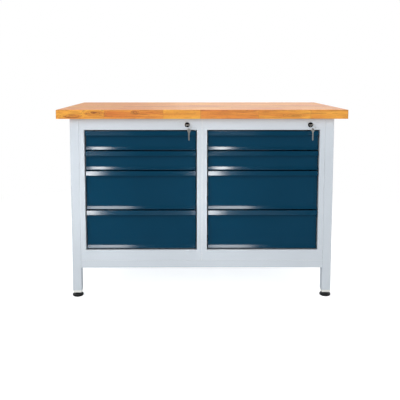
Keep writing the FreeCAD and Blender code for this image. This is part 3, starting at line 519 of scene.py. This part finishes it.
class BENCH_OT_steelwork(bpy.types.Operator):
    """Finishes the legs, rails, cabinets, back panels and runner posts"""
    bl_idname = "bench.steelwork"
    bl_label = "Frame and cabinets"

    def execute(self, context):
        want = context.scene.bench_finish
        # the white edge colour is a painted highlight: it lightens the edges and the rims of the
        # openings where the rolled steel catches the light
        grey = powder_coat(GREY_COAT, tuple(want.steel_colour), linear("#ffffff"),
                           want.steel_gloss, specular=0.45, peel=7.0, tone=0.02, rim=2.2,
                           highlight_share=1.4)
        legs = [f"leg_{end}_{side}" for end in ENDS for side in SIDES]
        paint(grey, "rail_front", "rail_rear", "runner_posts", *legs, *each("side_rails_{side}"),
              *each("cabinet_{side}"), *each("back_panel_{side}"))
        return {"FINISHED"}


def rounded_loop(wide, tall, round_radius, count):
    """That many points evenly along a rectangle with round corners, as columns across and up, the
    outward direction at each, and the loop's length. Every corner is a quarter circle about its
    own centre."""
    quarter = math.pi / 2
    turn = np.linspace(0.0, quarter, CORNER_POINTS)[None, :] + np.arange(4)[:, None] * quarter
    sign = np.array([(1, 1), (-1, 1), (-1, -1), (1, -1)])
    centre = sign * (np.array([wide, tall]) / 2 - round_radius)
    outward = np.stack([np.cos(turn), np.sin(turn)], axis=-1)
    corners = (centre[:, None, :] + outward * round_radius).reshape(-1, 2)
    closed = np.vstack([corners, corners[:1]])
    far = np.concatenate([[0.0], np.cumsum(np.linalg.norm(np.diff(closed, axis=0), axis=1))])
    at = np.arange(count) * far[-1] / count
    points = np.stack([np.interp(at, far, closed[:, i]) for i in (0, 1)], axis=-1)
    along = np.roll(points, -1, axis=0) - np.roll(points, 1, axis=0)
    along /= np.linalg.norm(along, axis=1)[:, None]
    return points, np.stack([along[:, 1], -along[:, 0]], axis=-1), far[-1]


def weld_bead(name, centre, wide, tall):
    """A welded seam round the end of a square tube, where it meets a leg: a thin tube along a
    rounded rectangle that stands across Y. Its radius swells and shrinks as a sine, once for each
    puddle of the torch, and its section is a circle flattened along Y."""
    path, outward, length = rounded_loop(wide, tall, WELD_CORNER, WELD_ALONG)
    puddles = round(length / WELD_PUDDLE)
    t = np.arange(len(path)) * 2 * math.pi / len(path)
    swell = WELD_RADIUS * (1.0 + WELD_SWELL * np.sin(puddles * t))
    v = np.arange(WELD_AROUND) * 2 * math.pi / WELD_AROUND
    off = swell[:, None] * np.cos(v)[None, :]
    grid = np.empty((len(path), WELD_AROUND, 3))
    grid[..., 0] = centre[0] + path[:, None, 0] + off * outward[:, None, 0]
    grid[..., 1] = centre[1] + WELD_FLAT * swell[:, None] * np.sin(v)[None, :]
    grid[..., 2] = centre[2] + path[:, None, 1] + off * outward[:, None, 1]
    index = np.arange(len(path) * WELD_AROUND).reshape(len(path), WELD_AROUND)
    right, up = np.roll(index, -1, axis=0), np.roll(index, -1, axis=1)
    faces = np.stack([index, up, np.roll(right, -1, axis=1), right], axis=-1).reshape(-1, 4)
    mesh = bpy.data.meshes.new(name)
    mesh.from_pydata(grid.reshape(-1, 3).tolist(), [], faces.tolist())
    mesh.polygons.foreach_set("use_smooth", np.ones(len(faces), dtype=bool))
    piece = bpy.data.objects.new(name, mesh)
    bpy.context.scene.collection.objects.link(piece)
    return piece


class BENCH_OT_welds(bpy.types.Operator):
    """Runs a welded seam round each end of the two low side rails"""
    bl_idname = "bench.welds"
    bl_label = "Welds"

    def execute(self, context):
        grey = bpy.data.materials[GREY_COAT]
        # the low side rails are the same tube as the front rail
        bottom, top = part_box("rail_front")
        tall = top.z - bottom.z
        for side in SIDES:
            low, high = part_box(f"side_rails_{side}")
            for end, y in zip(ENDS, (low.y, high.y)):
                centre = ((low.x + high.x) / 2, y, low.z + tall / 2)
                piece = weld_bead(f"weld_{end}_{side}", centre, high.x - low.x, tall)
                piece.data.materials.append(grey)
                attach(piece, "bench")
        return {"FINISHED"}


class BENCH_OT_drawers(bpy.types.Operator):
    """Finishes the drawer fronts and boxes"""
    bl_idname = "bench.drawers"
    bl_label = "Drawers"

    def execute(self, context):
        want = context.scene.bench_finish
        # the paler blue edge colour is a painted highlight along the edges of the drawer fronts,
        # the lips and bands included
        blue = powder_coat("powder_coat_petrol_blue_gloss", tuple(want.drawer_colour),
                           linear("#1b6282"), want.drawer_gloss, specular=0.5, peel=9.0,
                           tone=0.04, rim=1.6, highlight_share=1.0)
        paint(blue, *each("drawer_front_{side}_{n}"), *each("drawer_box_{side}_{n}"))
        return {"FINISHED"}


class BENCH_OT_hardware(bpy.types.Operator):
    """Finishes runners, locks, keys, bolts, plugs and feet"""
    bl_idname = "bench.hardware"
    bl_label = "Runners, locks and feet"

    def execute(self, context):
        zinc = plated_metal("zinc_plated_steel", linear("#c3c8cc"), linear("#aeb3ae"),
                            low=0.24, high=0.42, patch=30.0, brush=1.5)
        nickel = plated_metal("nickel_plated_brass", linear("#dcdad5"), linear("#cbc8c1"),
                              low=0.36, high=0.50, patch=6.0, brush=0.8)
        chrome = plated_metal("zinc_casting_black_chromed", linear("#1f2023"),
                              linear("#2b2c30"), low=0.18, high=0.30, patch=5.0, brush=0.8)
        black = moulded_plastic("polyamide_black_moulded", linear("#17181a"),
                                linear("#3a3b3d"), gloss=0.38)
        pale = moulded_plastic("polyethylene_white_moulded", linear("#e9eae6"),
                               linear("#ffffff"), gloss=0.45)
        paint(zinc, "outer_runners", "frame_bolts", "worktop_screws", "shaft_brackets",
              *each("middle_runners_{side}_{n}"), *each("locking_bar_{side}"))
        paint(chrome, *each("lock_body_{side}"), *each("lock_shaft_{side}"))
        paint(nickel, *each("key_{side}"), *each("key_ring_{side}"), *each("spare_key_{side}"))
        paint(black, "bar_guides", *[f"foot_{end}_{side}" for end in ENDS for side in SIDES])
        paint(pale, "leg_inserts")
        return {"FINISHED"}


def mirrored(point, lean, reach):
    """The place, so many metres off, that the camera sees mirrored at a point of a front that
    faces the user and leans up by that angle."""
    point = Vector(point)
    normal = Vector((0.0, -math.cos(lean), math.sin(lean)))
    look = (point - Vector(CAMERA_PLACE)).normalized()
    return point + (look - 2.0 * look.dot(normal) * normal) * reach


def area_light(name, centre, size, aim, watts, spread=math.pi):
    """A rectangular white lamp at centre that shines at aim."""
    lamp = bpy.data.lights.new(name, "AREA")
    lamp.shape = "RECTANGLE"
    lamp.size, lamp.size_y = size
    lamp.energy = watts
    lamp.spread = spread
    shown = bpy.data.objects.new(name, lamp)
    bpy.context.scene.collection.objects.link(shown)
    shown.location = centre
    shown.rotation_euler = (Vector(aim) - Vector(centre)).to_track_quat("-Z", "Y").to_euler()
    shown.visible_camera = False


class BENCH_OT_stage(bpy.types.Operator):
    """Lays the pale floor and sets the soft studio light and the camera"""
    bl_idname = "bench.stage"
    bl_label = "Floor, light and camera"

    def execute(self, context):
        scene = context.scene
        want = scene.bench_stage
        self.lay_floor(scene)
        self.light_room(scene)
        for name, centre, size, aim, share in LAMPS:
            area_light(name, centre, size, aim, want.key * share)
        self.light_edges()
        self.set_camera(scene, want)
        scene.view_settings.view_transform = "Standard"
        return {"FINISHED"}

    def light_edges(self):
        """Small cards, each where its mirror image runs along a lip or a band of the drawers. A
        card's radiance is its power over pi times its area, raised by the narrow spread that
        keeps it from the other faces."""
        tangent = math.tan(CARD_HALF_SPREAD)
        raised = tangent / (tangent - CARD_HALF_SPREAD)
        for side in SIDES:
            for lean, upper, lower, start, end, glow in CARDS:
                rows, seen = [], []
                for number, at in (upper, lower):
                    low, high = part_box(f"drawer_front_{side}_{number}")
                    level = low.z + BAND_UP if at == "band" else high.z - LIP_DOWN
                    points = [(low.x + x, low.y + EDGE_DEPTH, level) for x in (start, end)]
                    rows.append([mirrored(point, lean, CARD_REACH) for point in points])
                    seen += [Vector(point) for point in points]
                corners = rows[0] + rows[1]
                centre = sum(corners, Vector()) / 4
                wide = (rows[0][1] - rows[0][0]).length
                tall = (rows[0][0] - rows[1][0]).length + CARD_SPARE
                target = sum(seen, Vector()) / 4
                name = f"card_{side}_{upper[1]}_{upper[0]}_{start}"
                watts = glow * math.pi * wide * tall / raised
                area_light(name, centre, (wide, tall), target, watts,
                           spread=2.0 * CARD_HALF_SPREAD)

    def lay_floor(self, scene):
        """A flat square at height 0 round the bench. The paint glows a little, and more to the
        camera, so that shadows stay pale, and wholly far away, where it meets the sky."""
        corners = FLOOR_HALF * np.array([(-1, -1, 0), (1, -1, 0), (1, 1, 0), (-1, 1, 0)])
        mesh = bpy.data.meshes.new("floor")
        mesh.from_pydata(corners.tolist(), [], [(0, 1, 2, 3)])
        floor = bpy.data.objects.new("floor", mesh)
        scene.collection.objects.link(floor)
        material, tree = new_material("painted_floor_pale")
        place = add(tree, "ShaderNodeTexCoord").outputs["Object"]
        cloud = add(tree, "ShaderNodeTexNoise", links={"Vector": place},
                    values={"Scale": 1.5, "Detail": 3.0})
        mixed = add(tree, "ShaderNodeMix", data_type="RGBA", links={0: cloud.outputs["Fac"]},
                    values={COLOUR_A: linear("#f2f2f1"), COLOUR_B: linear("#f7f7f6")})
        middle = add(tree, "ShaderNodeVectorMath", operation="LENGTH", links={0: place})
        far = add(tree, "ShaderNodeMapRange", interpolation_type="SMOOTHSTEP",
                  links={"Value": middle.outputs["Value"]},
                  values={"From Min": 0.9, "From Max": 2.4, "To Min": 0.0, "To Max": 1.0})
        route = add(tree, "ShaderNodeLightPath")
        glow = add(tree, "ShaderNodeMapRange", links={"Value": route.outputs["Is Camera Ray"]},
                   values={"To Min": FLOOR_GLOW, "To Max": FLOOR_GLOW_SEEN})
        paint_near = add(tree, "ShaderNodeBsdfPrincipled",
                         links={"Base Color": mixed.outputs[COLOUR_OUT],
                                "Emission Strength": glow.outputs["Result"]},
                         values={"Roughness": 0.7, "Specular IOR Level": 0.1,
                                 "Emission Color": WHITE})
        paint_far = add(tree, "ShaderNodeEmission", values={"Strength": 1.0})
        shade = add(tree, "ShaderNodeMixShader",
                    links={0: far.outputs["Result"], 1: paint_near.outputs["BSDF"],
                           2: paint_far.outputs["Emission"]})
        # as if black flags kept the floor's image off the gloss of the fronts
        flag = add(tree, "ShaderNodeEmission", values={"Strength": FLOOR_FLAG})
        both = add(tree, "ShaderNodeMixShader",
                   links={0: route.outputs["Is Glossy Ray"], 1: shade.outputs[0],
                          2: flag.outputs["Emission"]})
        add(tree, "ShaderNodeOutputMaterial", links={"Surface": both.outputs[0]})
        mesh.materials.append(material)

    def light_room(self, scene):
        """A white backdrop behind the bench and a dimmer room before it."""
        world = bpy.data.worlds.new("studio")
        scene.world = world
        world.use_nodes = True
        tree = world.node_tree
        tree.nodes.clear()
        way = add(tree, "ShaderNodeTexCoord").outputs["Generated"]
        axis = add(tree, "ShaderNodeSeparateXYZ", links={"Vector": way})
        behind = add(tree, "ShaderNodeMapRange", interpolation_type="SMOOTHSTEP",
                     links={"Value": axis.outputs["Y"]},
                     values={"From Min": -0.45, "From Max": 0.2, "To Min": ROOM_BEFORE,
                             "To Max": ROOM_BEHIND})
        ray = add(tree, "ShaderNodeLightPath")
        lit = add(tree, "ShaderNodeMix", data_type="FLOAT",
                  links={0: ray.outputs["Is Glossy Ray"], NUMBER_B: behind.outputs["Result"]},
                  values={NUMBER_A: ROOM_LIGHT})
        strength = add(tree, "ShaderNodeMix", data_type="FLOAT",
                       links={0: ray.outputs["Is Camera Ray"],
                              NUMBER_A: lit.outputs[NUMBER_OUT]},
                       values={NUMBER_B: ROOM_SEEN})
        glow = add(tree, "ShaderNodeBackground",
                   links={"Strength": strength.outputs[NUMBER_OUT]}, values={"Color": WHITE})
        add(tree, "ShaderNodeOutputWorld", links={"Surface": glow.outputs[0]})

    def set_camera(self, scene, want):
        """The camera before the bench, shifted so that upright lines stay near upright."""
        lens = bpy.data.cameras.new("camera")
        lens.sensor_width = SENSOR_WIDTH
        lens.lens = want.lens
        lens.shift_x, lens.shift_y = CAMERA_SHIFT
        camera = bpy.data.objects.new("camera", lens)
        scene.collection.objects.link(camera)
        camera.location = CAMERA_PLACE
        camera.rotation_euler = (math.pi / 2 - want.pitch, 0.0, CAMERA_TURN)
        scene.camera = camera


# ---------------------------------------------------------------- panel and run

class BENCH_PT_panel(bpy.types.Panel):
    """Lists the steps that make the bench"""
    bl_label = "Workbench"
    bl_idname = "BENCH_PT_panel"
    bl_space_type = "VIEW_3D"
    bl_region_type = "UI"
    bl_category = "Workbench"

    def draw(self, context):
        for group in (context.scene.bench_finish, context.scene.bench_stage):
            for name in group.__annotations__:
                self.layout.prop(group, name)
        for step in STEPS:
            self.layout.operator(step.bl_idname)


STEPS = (BENCH_OT_worktop, BENCH_OT_steelwork, BENCH_OT_welds, BENCH_OT_drawers,
         BENCH_OT_hardware, BENCH_OT_stage)
CLASSES = (BenchFinish, BenchStage, *STEPS, BENCH_PT_panel)


def register():
    for made in CLASSES:
        bpy.utils.register_class(made)
    bpy.types.Scene.bench_finish = bpy.props.PointerProperty(type=BenchFinish)
    bpy.types.Scene.bench_stage = bpy.props.PointerProperty(type=BenchStage)


def unregister():
    del bpy.types.Scene.bench_stage
    del bpy.types.Scene.bench_finish
    for made in reversed(CLASSES):
        bpy.utils.unregister_class(made)


def main():
    register()
    bpy.ops.bench.worktop()
    bpy.ops.bench.steelwork()
    bpy.ops.bench.welds()
    bpy.ops.bench.drawers()
    bpy.ops.bench.hardware()
    bpy.ops.bench.stage()


if __name__ == "__main__":
    main()
